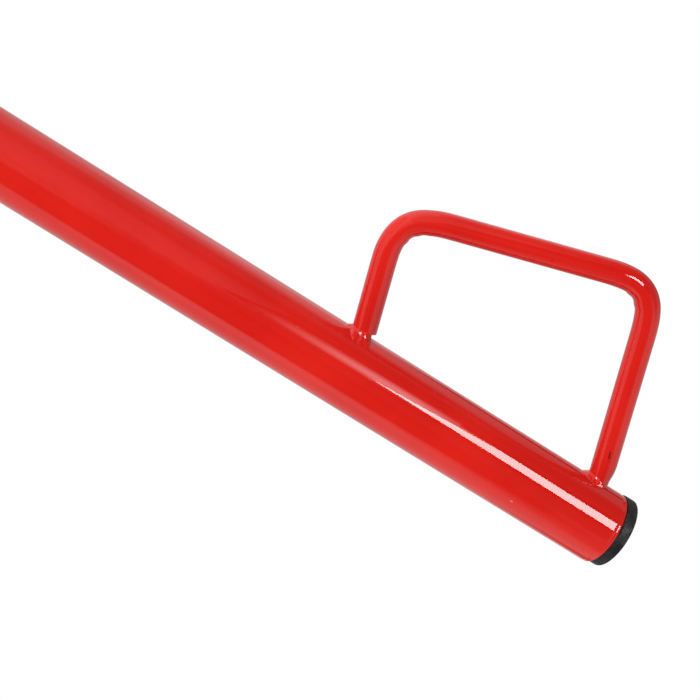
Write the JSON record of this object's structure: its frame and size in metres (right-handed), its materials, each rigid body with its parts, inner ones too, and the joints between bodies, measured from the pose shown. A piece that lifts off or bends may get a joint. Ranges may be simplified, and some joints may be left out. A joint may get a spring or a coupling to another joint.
{
  "type": "hand post driver",
  "caption": "Hand post driver: heavy steel barrel closed at one end by a welded striker and a plastic plug, with slanted bent-tube handles.",
  "frame": {"origin": "on the barrel's axis, in the plane of the open mouth", "axes": "+Z along the barrel from the open mouth to the plugged top end; +X out to the upper handle, whose plane is XZ"},
  "size_m": [0.366, 0.0602, 0.914],
  "materials": {
    "red_powder_coat": "glossy powder coat over steel",
    "bare_steel": "dark mill-finish steel with battered striking face",
    "black_plastic": "satin moulded polyethylene"
  },
  "bodies": {
    "root": {"barrel": "red_powder_coat", "striker_slug": "bare_steel", "striker_weld": "bare_steel", "end_plug": "black_plastic", "upper_handle": "red_powder_coat", "upper_handle_long_leg_weld": "red_powder_coat", "upper_handle_short_leg_weld": "red_powder_coat", "lower_handle": "red_powder_coat", "lower_handle_long_leg_weld": "red_powder_coat", "lower_handle_short_leg_weld": "red_powder_coat"}
  },
  "joints": []
}
